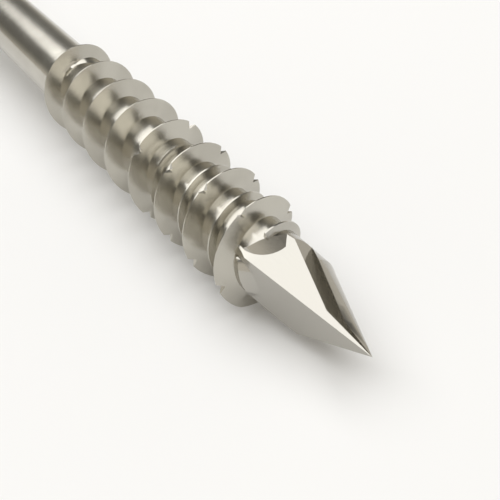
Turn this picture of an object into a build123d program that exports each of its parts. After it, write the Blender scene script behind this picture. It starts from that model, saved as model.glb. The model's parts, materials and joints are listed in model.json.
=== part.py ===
from build123d import *
import math
import os

# A deck screw: countersunk head with a six-lobe recess, plain shank, coarse notched thread,
# a second low thread beside it, and a point with two broad facets and a cut groove.
# It is drawn upright, with the tip of the point at the origin and the head above,
# and laid down at the end: X runs to the tip, Z is up and Y is to the side.
# All sizes are in millimetres and degrees. Turns are angles about the screw's axis.

# Length and head
screw_length = 60.0
head_diameter = 9.6
head_rim = 0.4
head_angle = 90.0
neck_radius = 1.2

# Six-lobe recess
recess_outer_diameter = 4.43
recess_valley_diameter = 3.17
recess_valley_radius = 0.85
recess_lobe_radius = 0.3
recess_depth = 2.6
lobe_count = 6
recess_bottom_angle = 120.0

# Shank and core
shank_diameter = 3.6
core_diameter = 3.2
shank_start = 24.6
shank_lead_in = 0.5

# Main thread: its crest passes turn 0 at this height above the tip, and again at each pitch
pitch = 2.5
thread_diameter = 4.9
first_crest = 7.57
tip_flank_angle = 15.0
head_flank_angle = 25.0
crest_width = 0.05
root_blend = 0.3
thread_start_turn = -168.0
thread_start_fade = 26.0
thread_end = 26.6
thread_end_fade = 1.3

# Low thread, half way between the turns of the main one
low_thread_diameter = 3.88
low_crest_width = 0.08
low_start_turn = -13.0
low_turns = 3.4
low_end_fade = 1.6

# Notches along the first turns of the main crest
notch_count = 15
first_notch_turn = -105.2
notch_spacing = 87.8
notch_depth = 0.32
notch_width = 0.56

# Point: a cone that leans a little to one side
cone_angle = 45.6
cone_lean = 1.7
cone_lean_turn = -130.0

# The two broad facets, mirror images on both sides of the ridge
ridge_turn = -55.7
facet_turn_from_ridge = 35.6
facet_angle = 11.5

# The wall at the head end of each facet: a quarter round, then a straight run towards the head
facet_reach = 6.95
facet_wall_radius = 1.36
facet_wall_height = 7.11
facet_wall_shift = 0.62
facet_wall_slope = 45.0
facet_wall_lean = 65.0
facet_wall_depth = 0.5

# The groove to the right of the first facet
groove_turn = 29.0
groove_floor_angle = 21.8
groove_floor_crossing = 1.67
groove_tail_angle = 7.45
groove_reach = 6.0
groove_wall_turn = -18.0
groove_wall_bend = 1.5
groove_wall_tip_angle = 3.8
groove_wall_angle = 20.5

# How far the blanks of cutting tools stand clear of the metal, and hidden roots reach into it
clear = 3.0
root_overlap = 0.35
root_sink = 0.01
crest_clearance = 0.05
thread_clearance = 0.02

thread_radius = thread_diameter / 2
core_radius = core_diameter / 2
shank_radius = shank_diameter / 2
low_thread_radius = low_thread_diameter / 2
head_radius = head_diameter / 2


def rise(angle, run):
    """Height that a slope at this angle gains over the run."""
    return run * math.tan(math.radians(angle))


def crest_height(turn):
    """Height above the tip of the main crest at a turn about the axis."""
    return first_crest + pitch * turn / 360


def stretch(lower_radius, upper_radius, bottom, top, ridges):
    """One straight or tapered stretch of the screw's body with the threads that pass over it."""
    taper = (upper_radius - lower_radius) / (top - bottom)
    carrier = make_face(
        Plane.XZ
        * Polyline(
            (0, bottom - clear),
            (lower_radius - taper * clear, bottom - clear),
            (upper_radius + taper * clear, top + clear),
            (0, top + clear),
            close=True,
        )
    )
    whole = revolve(carrier, Axis.Z)
    for ridge in ridges:
        whole += ridge
    slab = Pos(0, 0, bottom) * Cylinder(
        head_diameter, top - bottom, align=(Align.CENTER, Align.CENTER, Align.MIN)
    )
    return whole & slab


def head():
    """Plain shank above the thread, and the countersunk head."""
    cone_top = screw_length - head_rim
    neck_height = cone_top - (head_radius - shank_radius) / math.tan(math.radians(head_angle / 2))
    section = make_face(
        Plane.XZ
        * Polyline(
            (0, thread_end + clear),
            (shank_radius, thread_end + clear),
            (shank_radius, neck_height),
            (head_radius, cone_top),
            (head_radius, screw_length),
            (0, screw_length),
            close=True,
        )
    )
    neck = [v for v in section.vertices() if abs(v.Z - neck_height) < root_sink]
    return revolve(fillet(neck, neck_radius), Axis.Z)


def pointed(body):
    """The body with its lower end turned down to the leaning cone."""
    reach = thread_radius / math.tan(math.radians(cone_angle / 2)) + clear
    cone = Cone(0, rise(cone_angle / 2, reach), reach, align=(Align.CENTER, Align.CENTER, Align.MIN))
    lean_turn = math.radians(cone_lean_turn)
    cone = cone.rotate(Axis((0, 0, 0), (-math.sin(lean_turn), math.cos(lean_turn), 0)), cone_lean)
    above = Pos(0, 0, reach - clear) * Cylinder(
        head_diameter, screw_length, align=(Align.CENTER, Align.CENTER, Align.MIN)
    )
    return body & (cone + above)


def thread_section(crest_radius, width):
    """Section of a thread: sharp flanks, with a root that reaches into the core."""
    base = core_radius - root_sink
    depth = crest_radius - base
    half = pitch / 2 - root_overlap
    tip_side = width / 2 + rise(tip_flank_angle, depth)
    head_side = width / 2 + rise(head_flank_angle, depth)
    outline = Polyline(
        (base - root_overlap, -half),
        (base, -half),
        (base, -tip_side),
        (crest_radius, -width / 2),
        (crest_radius, width / 2),
        (base, head_side),
        (base, half),
        (base - root_overlap, half),
        close=True,
    )
    return make_face(Plane.XZ * outline)


def blended(section):
    """The section of a thread with its flanks rounded into the core."""
    base = core_radius - root_sink
    end = pitch / 2 - root_overlap - root_sink
    corners = [v for v in section.vertices() if abs(v.X - base) < root_sink and abs(v.Z) < end]
    return fillet(corners, root_blend)


def wound(section, start, turn, turns):
    """A thread of this section round the core, from this height and turn of its crest."""
    path = Helix(pitch, pitch * turns, core_radius)
    return Pos(0, 0, start) * Rot(0, 0, turn) * sweep(section, path=path, is_frenet=True)


def fading(ridge, crest_radius, start, full_from, full_to, end):
    """The ridge trimmed between two cones, so that it rises out of the core and sinks back into it."""
    climb = (full_from - start) / (crest_radius - core_radius)
    fall = (end - full_to) / (crest_radius - core_radius)
    top = crest_radius + crest_clearance
    outline = Polyline(
        (0, start - climb * core_radius),
        (top, full_from + climb * crest_clearance),
        (top, full_to - fall * crest_clearance),
        (0, end + fall * core_radius),
        close=True,
    )
    return ridge & revolve(make_face(Plane.XZ * outline), Axis.Z)


def main_thread():
    """The tall thread with its notches."""
    start = crest_height(thread_start_turn)
    full_from = crest_height(thread_start_turn + thread_start_fade)
    turns = (thread_end - start) / pitch + 1
    section = blended(thread_section(thread_radius, crest_width))
    ridge = wound(section, start - pitch / 2, thread_start_turn - 180, turns)
    ridge = fading(ridge, thread_radius, start, full_from, thread_end - thread_end_fade, thread_end)
    return ridge - notches()


def low_thread():
    """The low thread, half a pitch nearer the tip than the main crest, fading out after a few turns."""
    start = crest_height(low_start_turn) - pitch / 2
    end = start + low_turns * pitch
    section = thread_section(low_thread_radius, low_crest_width)
    ridge = wound(section, start, low_start_turn, low_turns)
    return fading(ridge, low_thread_radius, start - 2 * pitch, start - pitch, end - low_end_fade, end)


def notches():
    """Even notches across the main crest, pointed at the bottom."""
    floor = thread_radius - notch_depth
    top = thread_radius + notch_depth
    bite = make_face(Polyline((floor, 0), (top, notch_width), (top, -notch_width), close=True))
    tooth = extrude(bite, pitch / 4, both=True)
    cuts = []
    for number in range(notch_count):
        turn = first_notch_turn + number * notch_spacing
        cuts.append(Pos(0, 0, crest_height(turn)) * Rot(0, 0, turn) * tooth)
    return cuts


def tilted_plane(turn, angle):
    """A plane through the tip that faces this turn; its Y axis climbs away from the axis by the angle."""
    outward = Vector(math.cos(math.radians(turn)), math.sin(math.radians(turn)), 0)
    across = Vector(-math.sin(math.radians(turn)), math.cos(math.radians(turn)), 0)
    normal = outward * math.cos(math.radians(angle)) - Vector(0, 0, math.sin(math.radians(angle)))
    return Plane(origin=(0, 0, 0), x_dir=across, z_dir=normal)


def groove_guard():
    """What the point's cuts leave standing: all that lies to the right of the groove's steep wall."""
    side = Plane(
        origin=(0, 0, 0),
        x_dir=(-math.sin(math.radians(groove_wall_turn)), math.cos(math.radians(groove_wall_turn)), 0),
        z_dir=(math.cos(math.radians(groove_wall_turn)), math.sin(math.radians(groove_wall_turn)), 0),
    )
    # On this plane X runs to the right of the wall, and Y runs up the axis.
    top = groove_reach + clear
    bend = rise(groove_wall_tip_angle, groove_wall_bend)
    far = bend + rise(groove_wall_angle, top - groove_wall_bend)
    wide = far + clear
    outline = Polyline(
        (0, 0), (bend, groove_wall_bend), (far, top), (wide, top), (wide, -clear), (0, -clear), close=True
    )
    return extrude(make_face(side * outline), head_radius, both=True)


def facet_cutter(turn, hand):
    """The block cut away above one facet, up to the wall at its head end; hand is away from the ridge."""
    floor = tilted_plane(turn, facet_angle)
    # The outline lies on the facet: X runs away from the ridge, and Y runs up from the tip.
    round_start = math.degrees(math.asin((facet_wall_height - facet_reach) / facet_wall_radius))
    near = facet_wall_shift - facet_wall_radius * math.cos(math.radians(round_start))
    foot = facet_wall_height - facet_wall_radius
    far = facet_wall_shift + head_radius
    outline = Polyline(
        (near, facet_reach),
        (-head_radius, facet_reach),
        (-head_radius, -clear),
        (far, -clear),
        (far, foot + rise(facet_wall_slope, head_radius)),
        (facet_wall_shift, foot),
    )
    outline += CenterArc(
        (facet_wall_shift, facet_wall_height), facet_wall_radius, 180 + round_start, 90 - round_start
    )
    area = make_face(outline)
    if hand < 0:
        area = mirror(area, Plane.YZ)
    lean = floor.z_dir * facet_wall_depth + floor.y_dir * rise(facet_wall_lean, facet_wall_depth)
    block = extrude(floor * area, clear / 2) + extrude(floor * area, lean.length, dir=lean)
    # The cut goes through the core and leaves the threads outside it whole.
    return block & Cylinder(core_radius + thread_clearance, 2 * screw_length)


def groove_cutter():
    """The block cut away above the groove's floor, which has a steep part and a tail towards the tip."""
    steep = tilted_plane(groove_turn, groove_floor_angle)
    steep.origin = Vector(0, 0, groove_floor_crossing)
    tail = tilted_plane(groove_turn, groove_tail_angle)
    width = 4 * core_radius
    length = 2 * groove_reach
    above_steep = extrude(steep * Rectangle(width, length), clear)
    above_tail = extrude(tail * Rectangle(width, length), clear)
    below_threads = Pos(0, 0, groove_reach) * Box(
        4 * clear, 4 * clear, 4 * clear, align=(Align.CENTER, Align.CENTER, Align.MAX)
    )
    return above_steep & above_tail & below_threads


def point_cutters():
    """All that is cut from the cone to make the point."""
    guard = groove_guard()
    first = facet_cutter(ridge_turn + facet_turn_from_ridge, 1) - guard
    second = facet_cutter(ridge_turn - facet_turn_from_ridge, -1)
    groove = groove_cutter() - guard
    return [first, second, groove]


def drive_recess():
    """Six-lobe socket, sunk into the top of the head, with a cone left by the punch at its bottom."""
    outer = recess_outer_diameter / 2
    valley_centre = recess_valley_diameter / 2 + recess_valley_radius
    star = Circle(outer)
    step = 360 / lobe_count
    for number in range(lobe_count):
        star -= Rot(0, 0, (number + 0.5) * step) * Pos(valley_centre, 0) * Circle(recess_valley_radius)
    star = fillet(star.vertices(), recess_lobe_radius)
    socket = Pos(0, 0, screw_length - recess_depth) * extrude(star, recess_depth + clear)
    bottom_height = recess_valley_diameter / 2 / math.tan(math.radians(recess_bottom_angle / 2))
    bottom = Pos(0, 0, screw_length - recess_depth) * Cone(
        0, recess_valley_diameter / 2, bottom_height, align=(Align.CENTER, Align.CENTER, Align.MAX)
    )
    return socket + bottom


def upright_screw():
    """The whole screw, standing on its tip."""
    tall = main_thread()
    low = low_thread()
    shank_full = shank_start + shank_lead_in
    body = stretch(core_radius, core_radius, 0, shank_start, [tall, low])
    body += stretch(core_radius, shank_radius, shank_start, shank_full, [tall])
    body += stretch(shank_radius, shank_radius, shank_full, thread_end + clear, [tall])
    body += head()
    body = pointed(body)
    body -= point_cutters()
    return body - drive_recess()


def laid_down(screw):
    """The screw as it rests on a floor: on the rim of its head and on its thread's crest nearest the tip."""
    lying = screw.rotate(Axis.Y, -90)
    # The lowest full crest is the first one whose fade has ended.
    contact = crest_height(180)
    rim = screw_length - head_rim
    dip = math.degrees(math.atan2(head_radius - thread_radius, rim - contact))
    lying = lying.rotate(Axis.Y, dip)
    box = lying.bounding_box()
    return Pos(-box.center().X, -box.center().Y, -box.min.Z) * lying


os.makedirs("parts", exist_ok=True)
export_step(laid_down(upright_screw()), "parts/deck_screw.step")
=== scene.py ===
import json
import logging
import math
from dataclasses import dataclass

import bmesh
import bpy
from mathutils import Matrix, Vector


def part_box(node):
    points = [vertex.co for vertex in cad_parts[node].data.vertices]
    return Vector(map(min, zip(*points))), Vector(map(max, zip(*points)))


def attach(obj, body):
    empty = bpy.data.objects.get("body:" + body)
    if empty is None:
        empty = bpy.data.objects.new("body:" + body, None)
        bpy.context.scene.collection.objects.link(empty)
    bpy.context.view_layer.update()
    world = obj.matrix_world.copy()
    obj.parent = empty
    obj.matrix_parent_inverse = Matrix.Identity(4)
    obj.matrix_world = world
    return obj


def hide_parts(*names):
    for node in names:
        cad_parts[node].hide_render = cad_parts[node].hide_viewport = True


# A deck screw as it comes to rest on a pale floor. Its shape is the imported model's: this script
# draws the roots of its thread sharp, dresses it in steel, and adds the studio and the camera.

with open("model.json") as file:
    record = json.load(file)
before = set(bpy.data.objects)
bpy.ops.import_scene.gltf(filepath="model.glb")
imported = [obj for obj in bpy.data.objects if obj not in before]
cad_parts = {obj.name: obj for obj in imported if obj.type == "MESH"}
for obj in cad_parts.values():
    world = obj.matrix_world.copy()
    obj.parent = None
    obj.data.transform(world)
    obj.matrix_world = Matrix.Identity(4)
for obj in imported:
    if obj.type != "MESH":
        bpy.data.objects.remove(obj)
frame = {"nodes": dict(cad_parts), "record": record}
LOG = logging.getLogger("deck_screw")
BODY = "root"
NODE = "deck_screw"
MM = 0.001
Colour = tuple[float, float, float, float]


class Graph:
    """The node tree of one material or of the world."""

    def __init__(self, tree: bpy.types.NodeTree) -> None:
        """Empties the tree.

        Args:
            tree: The node tree to fill.
        """
        self.tree = tree
        self.tree.nodes.clear()

    def add(self, kind: str, settings: dict[str, object], sockets: dict[str | int, object]) -> bpy.types.Node:
        """Adds a node.

        Args:
            kind: The node's type.
            settings: Its properties, which are set before its sockets.
            sockets: What its inputs get, by name or number: a signal or a plain value.

        Returns:
            The new node.
        """
        made = self.tree.nodes.new(kind)
        for name, value in settings.items():
            setattr(made, name, value)
        for key, value in sockets.items():
            if isinstance(value, Signal):
                self.tree.links.new(value.socket, made.inputs[key])
            else:
                made.inputs[key].default_value = value
        return made

    def signal(
        self, kind: str, settings: dict[str, object], sockets: dict[str | int, object], output: str | int = 0
    ) -> "Signal":
        """Adds a node and wraps one of its outputs.

        Args:
            kind: The node's type.
            settings: Its properties.
            sockets: What its inputs get.
            output: The output's name or number.

        Returns:
            The output, ready for use in expressions.
        """
        return Signal(self, self.add(kind, settings, sockets).outputs[output])

    def mix(self, factor: "Signal", low: object, high: object) -> "Signal":
        """Mixes two colours.

        Args:
            factor: How much of the second.
            low: The colour at 0.
            high: The colour at 1.

        Returns:
            The mixed colour.
        """
        return self.signal("ShaderNodeMix", {"data_type": "RGBA"}, {0: factor, 6: low, 7: high}, 2)

    def blend(self, factor: "Signal", low: "Signal", high: "Signal") -> "Signal":
        """Blends two numbers.

        Args:
            factor: How much of the second.
            low: The number at 0.
            high: The number at 1.

        Returns:
            The blended number.
        """
        return self.signal("ShaderNodeMix", {"data_type": "FLOAT"}, {0: factor, 2: low, 3: high})


class Signal:
    """A node's output, with arithmetic for those that carry a number."""

    def __init__(self, graph: Graph, socket: bpy.types.NodeSocket) -> None:
        """Keeps the output.

        Args:
            graph: The graph that it belongs to.
            socket: The output socket.
        """
        self.graph = graph
        self.socket = socket

    def math(self, operation: str, other: object) -> "Signal":
        """Adds a Math node.

        Args:
            operation: The node's operation.
            other: Its second operand, a signal or a number.

        Returns:
            The result.
        """
        return self.graph.signal("ShaderNodeMath", {"operation": operation}, {0: self, 1: other})

    def __add__(self, other: object) -> "Signal":
        """Returns the sum."""
        return self.math("ADD", other)

    __radd__ = __add__

    def __mul__(self, other: object) -> "Signal":
        """Returns the product."""
        return self.math("MULTIPLY", other)

    __rmul__ = __mul__

    def __sub__(self, other: object) -> "Signal":
        """Returns the difference."""
        return self.math("SUBTRACT", other)

    def __rsub__(self, other: float) -> "Signal":
        """Returns a number less the signal."""
        return self * -1.0 + other

    def ramp(self, low: float, high: float) -> "Signal":
        """Returns a smooth step that is 0 at low and 1 at high."""
        sockets = {"Value": self, "From Min": low, "From Max": high}
        return self.graph.signal("ShaderNodeMapRange", {"interpolation_type": "SMOOTHSTEP"}, sockets)


@dataclass(frozen=True)
class ScrewAxes:
    """The lying screw's own directions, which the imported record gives."""

    tip: Vector
    towards_tip: Vector
    side: Vector
    up: Vector

    @classmethod
    def of_frame(cls) -> "ScrewAxes":
        """Works them out from the thread's mount and the node's box.

        Returns:
            The screw's axes.
        """
        thread = next(mount for mount in frame["record"]["mounts"] if mount["name"] == "thread")
        towards_tip = Vector(thread["axis"]).normalized()
        middle = Vector(thread["pos_m"])
        reach = (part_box(NODE)[1].x - middle.x) / towards_tip.x
        side = Vector((0.0, 1.0, 0.0))
        return cls(middle + towards_tip * reach, towards_tip, side, towards_tip.cross(side))

    def direction(self, forward: float, side: float, up: float) -> Vector:
        """Turns a direction in the screw's axes into the frame.

        Args:
            forward: Its part towards the tip.
            side: Its part along the frame's Y.
            up: Its part square to both.

        Returns:
            The vector in the frame.
        """
        return self.towards_tip * forward + self.side * side + self.up * up

    def spot(self, point: Vector) -> tuple[float, float, float]:
        """Finds where a point is on the screw.

        Args:
            point: The point in the frame.

        Returns:
            Its height above the tip and its radius in millimetres, and its turn in degrees.
        """
        away = (point - self.tip) / MM
        side, up = away.dot(self.side), away.dot(self.up)
        return -away.dot(self.towards_tip), math.hypot(side, up), math.degrees(math.atan2(side, up))

    def point(self, height: float, radius: float, turn: float) -> Vector:
        """Finds the point at a spot on the screw.

        Args:
            height: Height above the tip, in millimetres.
            radius: Radius, in millimetres.
            turn: Turn, in degrees.

        Returns:
            The point in the frame.
        """
        angle = math.radians(turn)
        return self.tip + self.direction(-height, radius * math.sin(angle), radius * math.cos(angle)) * MM


@dataclass(frozen=True)
class Marks:
    """Fine marks in the metal: how often they change in a millimetre along each axis, and their detail."""

    stretch: tuple[float, float, float]
    detail: float

    def draw(self, graph: Graph, place: Signal) -> Signal:
        """Adds the pattern.

        Args:
            graph: The material's graph.
            place: The coordinates, in millimetres.

        Returns:
            The pattern, about 0.5 in its middle.
        """
        scaled = graph.signal("ShaderNodeMapping", {}, {"Vector": place, "Scale": self.stretch})
        return graph.signal("ShaderNodeTexNoise", {}, {"Vector": scaled, "Scale": 1.0, "Detail": self.detail})


@dataclass(frozen=True)
class StainlessSteel:
    """Bright stainless steel, rolled on the threads; on the point, where the cuts are, its colour is darker,
    partly as painted shade.
    """

    name: str = "stainless_steel"
    light: Colour = (0.52, 0.50, 0.445, 1.0)
    dull: Colour = (0.46, 0.44, 0.39, 1.0)
    # Darker on the point's cuts: partly their own finish, partly painted shade standing in for the dark
    # reflection in the point's lower facet.
    cut_and_painted_shade: Colour = (0.42, 0.405, 0.37, 1.0)
    patches: Marks = Marks((0.5, 0.5, 0.5), 3.0)
    patch_edges: tuple[float, float] = (0.35, 0.65)
    rolled_marks: Marks = Marks((5.0, 0.7, 0.7), 4.0)
    cut_marks: Marks = Marks((0.8, 9.0, 9.0), 3.0)
    cut_zone: tuple[float, float] = (-7.0, -5.8)
    rolled_roughness: float = 0.21
    cut_roughness: float = 0.17
    roughness_swing: float = 0.09
    grain_strength: float = 0.12
    grain_depth: float = 0.02 * MM

    def material(self, axes: ScrewAxes) -> bpy.types.Material:
        """Makes the material.

        Args:
            axes: The screw's directions, which its marks follow.

        Returns:
            The new material.
        """
        made = bpy.data.materials.new(self.name)
        made.use_nodes = True
        graph = Graph(made.node_tree)
        place = self.place(graph, axes)
        on_cuts_with_painted_shade = graph.signal("ShaderNodeSeparateXYZ", {}, {"Vector": place}, "X").ramp(*self.cut_zone)
        patches = self.patches.draw(graph, place).ramp(*self.patch_edges)
        marks = graph.blend(on_cuts_with_painted_shade, self.rolled_marks.draw(graph, place), self.cut_marks.draw(graph, place))
        # On the point's cuts the colour darkens: partly their finish, partly painted shade for the lower
        # facet's dark reflection.
        colour = graph.mix(on_cuts_with_painted_shade, graph.mix(patches, self.dull, self.light), self.cut_and_painted_shade)
        least = self.rolled_roughness - self.roughness_swing / 2
        smoother = on_cuts_with_painted_shade * (self.cut_roughness - self.rolled_roughness)
        roughness = marks * self.roughness_swing + smoother + least
        bump = {"Strength": self.grain_strength, "Distance": self.grain_depth, "Height": marks}
        grain = graph.signal("ShaderNodeBump", {}, bump)
        steel = {"Base Color": colour, "Metallic": 1.0, "Roughness": roughness, "Normal": grain}
        shader = graph.signal("ShaderNodeBsdfPrincipled", {}, steel)
        graph.add("ShaderNodeOutputMaterial", {}, {"Surface": shader})
        return made

    def place(self, graph: Graph, axes: ScrewAxes) -> Signal:
        """Adds coordinates in the screw's own axes: millimetres from the tip, with X towards it.

        Args:
            graph: The material's graph.
            axes: The screw's directions.

        Returns:
            The coordinates.
        """
        sockets = {
            "Vector": graph.signal("ShaderNodeTexCoord", {}, {}, "Object"),
            "Location": axes.tip,
            "Rotation": axes.towards_tip.to_track_quat("X", "Z").to_euler(),
            "Scale": (MM, MM, MM),
        }
        return graph.signal("ShaderNodeMapping", {"vector_type": "TEXTURE"}, sockets)


@dataclass(frozen=True)
class MainThread:
    """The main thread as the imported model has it, in millimetres and degrees."""

    pitch: float = 2.5
    first_crest: float = 7.57
    outer_radius: float = 2.45
    core_radius: float = 1.6
    crest_width: float = 0.05
    tip_flank: float = 15.0
    head_flank: float = 25.0
    root_blend: float = 0.3
    root_sink: float = 0.01
    end_of_core: float = 24.5
    blend_slack: float = 0.012
    root_slack: float = 0.0015

    def offset(self, height: float, turn: float) -> float:
        """Returns how far above the nearest crest a height is, at a turn."""
        above = height - self.first_crest - self.pitch * turn / 360
        return above - self.pitch * round(above / self.pitch)

    def flank(self, above: float) -> float:
        """Returns the angle of the flank above or below a crest."""
        return self.head_flank if above > 0 else self.tip_flank

    def half_width(self, flank: float, radius: float) -> float:
        """Returns the distance from the crest's middle to a flank at a radius."""
        return self.crest_width / 2 + math.tan(math.radians(flank)) * (self.outer_radius - radius)

    def drawn_to_root(self, height: float, radius: float, turn: float) -> tuple[float, float, float] | None:
        """Finds the sharp corner of the root for a point on the blend beside it.

        Args:
            height: The point's height above the tip.
            radius: Its radius.
            turn: Its turn.

        Returns:
            The corner's height, radius and turn, or nothing for a point that isn't on a blend.
        """
        above = self.offset(height, turn)
        flank = self.flank(above)
        foot = self.core_radius - self.root_sink
        run = self.root_blend * math.tan(math.radians(90 - flank) / 2)
        middle = self.half_width(flank, foot) + run
        away = math.hypot(abs(above) - middle, radius - foot - self.root_blend)
        inside = abs(above) < middle and radius < foot + self.root_blend and height < self.end_of_core
        if not inside or abs(away - self.root_blend) > self.blend_slack:
            return None
        corner = math.copysign(self.half_width(flank, self.core_radius), above)
        return height - above + corner, self.core_radius, turn

    def on_root(self, height: float, radius: float, turn: float) -> bool:
        """Tells whether a point lies in the sharp corner between a flank and the core.

        Args:
            height: The point's height above the tip.
            radius: Its radius.
            turn: Its turn.

        Returns:
            Whether it does.
        """
        above = self.offset(height, turn)
        aside = abs(above) - self.half_width(self.flank(above), self.core_radius)
        return max(abs(aside), abs(radius - self.core_radius)) < self.root_slack

    def normals(self, radius: float) -> list[tuple[float, float, float]]:
        """Works out the directions that the screw's turned surfaces face at a radius.

        Args:
            radius: The radius.

        Returns:
            The direction of a cylinder, of a flank to the tip and of one to the head, each as its
            parts towards the head, outwards and along the turn.
        """
        lead = self.pitch / (2 * math.pi * radius)
        tip = math.tan(math.radians(self.tip_flank))
        head = math.tan(math.radians(self.head_flank))
        return [(0.0, 1.0, 0.0), (-1.0, tip, lead), (1.0, head, -lead)]


@dataclass(frozen=True)
class DeckScrew:
    """The screw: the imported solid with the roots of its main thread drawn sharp."""

    name: str = "screw"
    thread: MainThread = MainThread()
    steel: StainlessSteel = StainlessSteel()
    merge: float = 0.0001 * MM
    crease: float = math.radians(20.0)
    cut_depth: float = 0.04
    core_slack: float = 0.002
    sliver: float = 0.03 * MM
    passes: int = 20
    dissolve_steps: tuple[float, ...] = (0.002 * MM, 0.004 * MM, 0.006 * MM)
    same_way: float = math.cos(math.radians(14.0))

    def build(self, axes: ScrewAxes) -> bpy.types.Object:
        """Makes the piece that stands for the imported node.

        Args:
            axes: The screw's directions.

        Returns:
            The screw.
        """
        shape = bmesh.new()
        shape.from_mesh(frame["nodes"][NODE].data)
        bmesh.ops.remove_doubles(shape, verts=shape.verts, dist=self.merge)
        moved = self.sharpen_roots(shape, axes)
        for face in shape.faces:
            face.smooth = True
        for edge in shape.edges:
            edge.smooth = edge.calc_face_angle(math.pi) < self.crease
        mesh = bpy.data.meshes.new(self.name)
        shape.to_mesh(mesh)
        shape.free()
        mesh.normals_split_custom_set(self.corner_normals(mesh, axes))
        mesh.materials.append(self.steel.material(axes))
        screw = bpy.data.objects.new(self.name, mesh)
        bpy.context.scene.collection.objects.link(screw)
        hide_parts(NODE)
        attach(screw, BODY)
        LOG.info("screw: %d faces, %d root points drawn sharp", len(mesh.polygons), moved)
        return screw

    def sharpen_roots(self, shape: bmesh.types.BMesh, axes: ScrewAxes) -> int:
        """Draws the blends at the thread's roots into sharp corners and takes out what has no area.

        Args:
            shape: The screw's mesh.
            axes: The screw's directions.

        Returns:
            How many points were moved.
        """
        moved = 0
        for corner in shape.verts:
            root = self.thread.drawn_to_root(*axes.spot(corner.co))
            if root is not None and not self.at_a_cut(corner, axes):
                corner.co = axes.point(*root)
                moved += 1
        self.turn_slivers(shape, axes)
        for dist in self.dissolve_steps:
            bmesh.ops.dissolve_degenerate(shape, edges=shape.edges, dist=dist)
            self.turn_slivers(shape, axes)
        bmesh.ops.triangulate(shape, faces=[face for face in shape.faces if len(face.verts) > 3])
        return moved

    def at_a_cut(self, corner: bmesh.types.BMVert, axes: ScrewAxes) -> bool:
        """Tells whether one of the cuts that make the point reaches a corner.

        Args:
            corner: The corner.
            axes: The screw's directions.

        Returns:
            Whether a face beside it lies deeper than the core's surface.
        """
        depths = [axes.spot(face.calc_center_median())[1] for face in corner.link_faces]
        return min(depths) < self.thread.core_radius - self.cut_depth

    def turn_slivers(self, shape: bmesh.types.BMesh, axes: ScrewAxes) -> None:
        """Turns the long edges of the slivers that lie along the sharp roots.

        Args:
            shape: The screw's mesh.
            axes: The screw's directions.
        """
        roots = {corner for corner in shape.verts if self.thread.on_root(*axes.spot(corner.co))}
        for _ in range(self.passes):
            along = [face for face in shape.faces if len(face.verts) == 3 and roots.issuperset(face.verts)]
            if not sum(self.turn_sliver(shape, face, roots) for face in along):
                return

    def turn_sliver(
        self, shape: bmesh.types.BMesh, face: bmesh.types.BMFace, roots: set[bmesh.types.BMVert]
    ) -> bool:
        """Turns the longest edge of one face, if the face is a sliver and its neighbour allows it.

        Args:
            shape: The screw's mesh.
            face: The face, which an earlier turn may have taken away.
            roots: The corners that lie on a root.

        Returns:
            Whether the edge was turned.
        """
        if not face.is_valid:
            return False
        edge = max(face.edges, key=lambda side: side.calc_length())
        length = edge.calc_length()
        sides = [len(beside.verts) for beside in edge.link_faces]
        if 2 * face.calc_area() > self.sliver * length or sides != [3, 3]:
            return False
        near, far = ((set(beside.verts) - set(edge.verts)).pop() for beside in edge.link_faces)
        shorter = (far.co - near.co).length < length
        if shape.edges.get((near, far)) or ({near, far} <= roots and not shorter):
            return False
        return bmesh.utils.edge_rotate(edge, True) is not None

    def corner_normals(self, mesh: bpy.types.Mesh, axes: ScrewAxes) -> list[Vector]:
        """Gives the core and the flanks the normals of their true surfaces.

        Args:
            mesh: The screw's mesh.
            axes: The screw's directions.

        Returns:
            One normal for each corner of each face, zero where the mesh's own is right.
        """
        normals = [Vector()] * len(mesh.loops)
        for face in mesh.polygons:
            corners = [self.true_normals(mesh.vertices[index].co, axes) for index in face.vertices]
            for surface in zip(*corners):
                if all(normal.dot(face.normal) > self.same_way for normal in surface):
                    for loop, normal in zip(face.loop_indices, surface):
                        normals[loop] = normal
        return normals

    def true_normals(self, point: Vector, axes: ScrewAxes) -> list[Vector]:
        """Works out the directions that the core and the two flanks face at a point.

        Args:
            point: The point.
            axes: The screw's directions.

        Returns:
            One direction for each of the three, zero where the point can't be on it.
        """
        _, radius, turn = axes.spot(point)
        angle = math.radians(turn)
        outward = axes.direction(0.0, math.sin(angle), math.cos(angle))
        along = axes.direction(0.0, math.cos(angle), -math.sin(angle))
        ways = [
            axes.towards_tip * -headward + outward * out + along * turned
            for headward, out, turned in self.thread.normals(radius)
        ]
        on_core = abs(radius - self.thread.core_radius) < self.core_slack
        outside = radius > self.thread.core_radius - self.core_slack
        fits = (on_core, outside, outside)
        return [way.normalized() if fit else Vector() for way, fit in zip(ways, fits)]


@dataclass(frozen=True)
class SoftBox:
    """A round soft box: where it hangs in degrees, its half angle as the screw sees it, and its radiance."""

    name: str
    azimuth: float
    elevation: float
    half_angle: float
    radiance: float
    distance: float = 0.6

    def hang(self, target: Vector) -> bpy.types.Object:
        """Hangs the lamp.

        Args:
            target: What it points at.

        Returns:
            The lamp.
        """
        radius = self.distance * math.tan(math.radians(self.half_angle))
        data = bpy.data.lights.new(self.name, "AREA")
        data.shape = "DISK"
        data.size = 2.0 * radius
        data.energy = self.radiance * math.pi * math.pi * radius**2
        lamp = bpy.data.objects.new(self.name, data)
        turn, rise = math.radians(self.azimuth), math.radians(self.elevation)
        way = Vector((math.cos(turn) * math.cos(rise), math.sin(turn) * math.cos(rise), math.sin(rise)))
        lamp.location = target + way * self.distance
        lamp.rotation_euler = way.to_track_quat("Z", "Y").to_euler()
        bpy.context.scene.collection.objects.link(lamp)
        return lamp


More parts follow.
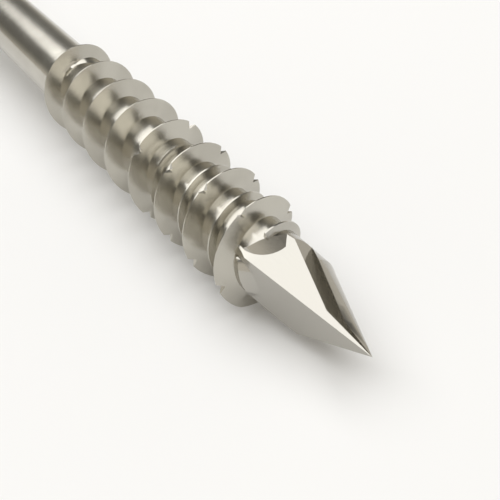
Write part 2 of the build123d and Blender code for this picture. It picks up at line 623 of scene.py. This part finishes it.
@dataclass(frozen=True)
class Studio:
    """A pale floor, one soft key behind and above the screw, and pale surroundings."""

    floor_radius: float = 0.24
    floor_segments: int = 96
    floor_colour: Colour = (0.86, 0.86, 0.86, 1.0)
    horizon: Colour = (0.84, 0.80, 0.72, 1.0)
    overhead: Colour = (0.18, 0.175, 0.16, 1.0)
    lean: tuple[float, float, float] = (-0.45, 0.0, 1.0)
    fall: tuple[float, float] = (0.25, 0.7)
    key: SoftBox = SoftBox("key_box", -170.0, 69.0, 40.0, 2.0)

    def build(self, axes: ScrewAxes) -> None:
        """Puts up the studio.

        Args:
            axes: The screw's directions.
        """
        self.floor()
        self.key.hang(axes.tip)
        self.world()
        LOG.info("studio: floor, %s and surroundings", self.key.name)

    def floor(self) -> bpy.types.Object:
        """Lays the pale floor.

        Returns:
            The floor.
        """
        mesh = bpy.data.meshes.new("floor")
        shape = bmesh.new()
        bmesh.ops.create_circle(shape, cap_ends=True, segments=self.floor_segments, radius=self.floor_radius)
        shape.to_mesh(mesh)
        shape.free()
        floor = bpy.data.objects.new("floor", mesh)
        bpy.context.scene.collection.objects.link(floor)
        made = bpy.data.materials.new("pale_floor")
        made.use_nodes = True
        graph = Graph(made.node_tree)
        paint = graph.signal("ShaderNodeBsdfDiffuse", {}, {"Color": self.floor_colour})
        graph.add("ShaderNodeOutputMaterial", {}, {"Surface": paint})
        mesh.materials.append(made)
        return floor

    def world(self) -> None:
        """Surrounds the screw: pale at the horizon, darker overhead, and pale further up before its tip."""
        world = bpy.data.worlds.new("studio")
        world.use_nodes = True
        bpy.context.scene.world = world
        graph = Graph(world.node_tree)
        way = graph.signal("ShaderNodeTexCoord", {}, {}, "Generated")
        along = {"operation": "DOT_PRODUCT"}
        height = graph.signal("ShaderNodeVectorMath", along, {0: way, 1: self.lean}, "Value")
        level = graph.mix(height.ramp(*self.fall), self.horizon, self.overhead)
        back = graph.signal("ShaderNodeBackground", {}, {"Color": level, "Strength": 1.0})
        graph.add("ShaderNodeOutputWorld", {}, {"Surface": back})


@dataclass(frozen=True)
class PhotoCamera:
    """The camera where the photograph was taken from.

    Its place from the tip, in outer radii of the thread, and its view are given forward, to the
    side and up in the screw's own axes.
    """

    name: str = "photo_camera"
    radii: tuple[float, float, float] = (5.09, -5.73, 8.44)
    look: tuple[float, float, float] = (-0.627, 0.432, -0.648)
    lens: float = 53.65
    sensor: float = 36.0
    nearest: float = 1.0 * MM

    def build(self, axes: ScrewAxes, thread: MainThread) -> None:
        """Sets the camera up.

        Args:
            axes: The screw's directions.
            thread: The thread, whose outer radius is the measure.
        """
        data = bpy.data.cameras.new(self.name)
        data.lens = self.lens
        data.sensor_width = self.sensor
        data.clip_start = self.nearest
        camera = bpy.data.objects.new(self.name, data)
        place = axes.tip + axes.direction(*self.radii) * thread.outer_radius * MM
        look = axes.direction(*self.look).normalized()
        # The picture's right lies in the plane of the screw's axis and its side.
        right = axes.direction(self.look[1], -self.look[0], 0.0).normalized()
        up = right.cross(look).normalized()
        turn = Matrix((right, up, -look)).transposed()
        camera.matrix_world = Matrix.Translation(place) @ turn.to_4x4()
        bpy.context.scene.collection.objects.link(camera)
        bpy.context.scene.camera = camera
        LOG.info("camera at %s", tuple(round(part, 4) for part in place))


def main() -> None:
    """Builds the scene."""
    logging.basicConfig(level=logging.INFO)
    bpy.context.scene.view_settings.view_transform = "Standard"
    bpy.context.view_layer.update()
    axes = ScrewAxes.of_frame()
    screw = DeckScrew()
    screw.build(axes)
    Studio().build(axes)
    PhotoCamera().build(axes, screw.thread)


if __name__ == "__main__":
    main()
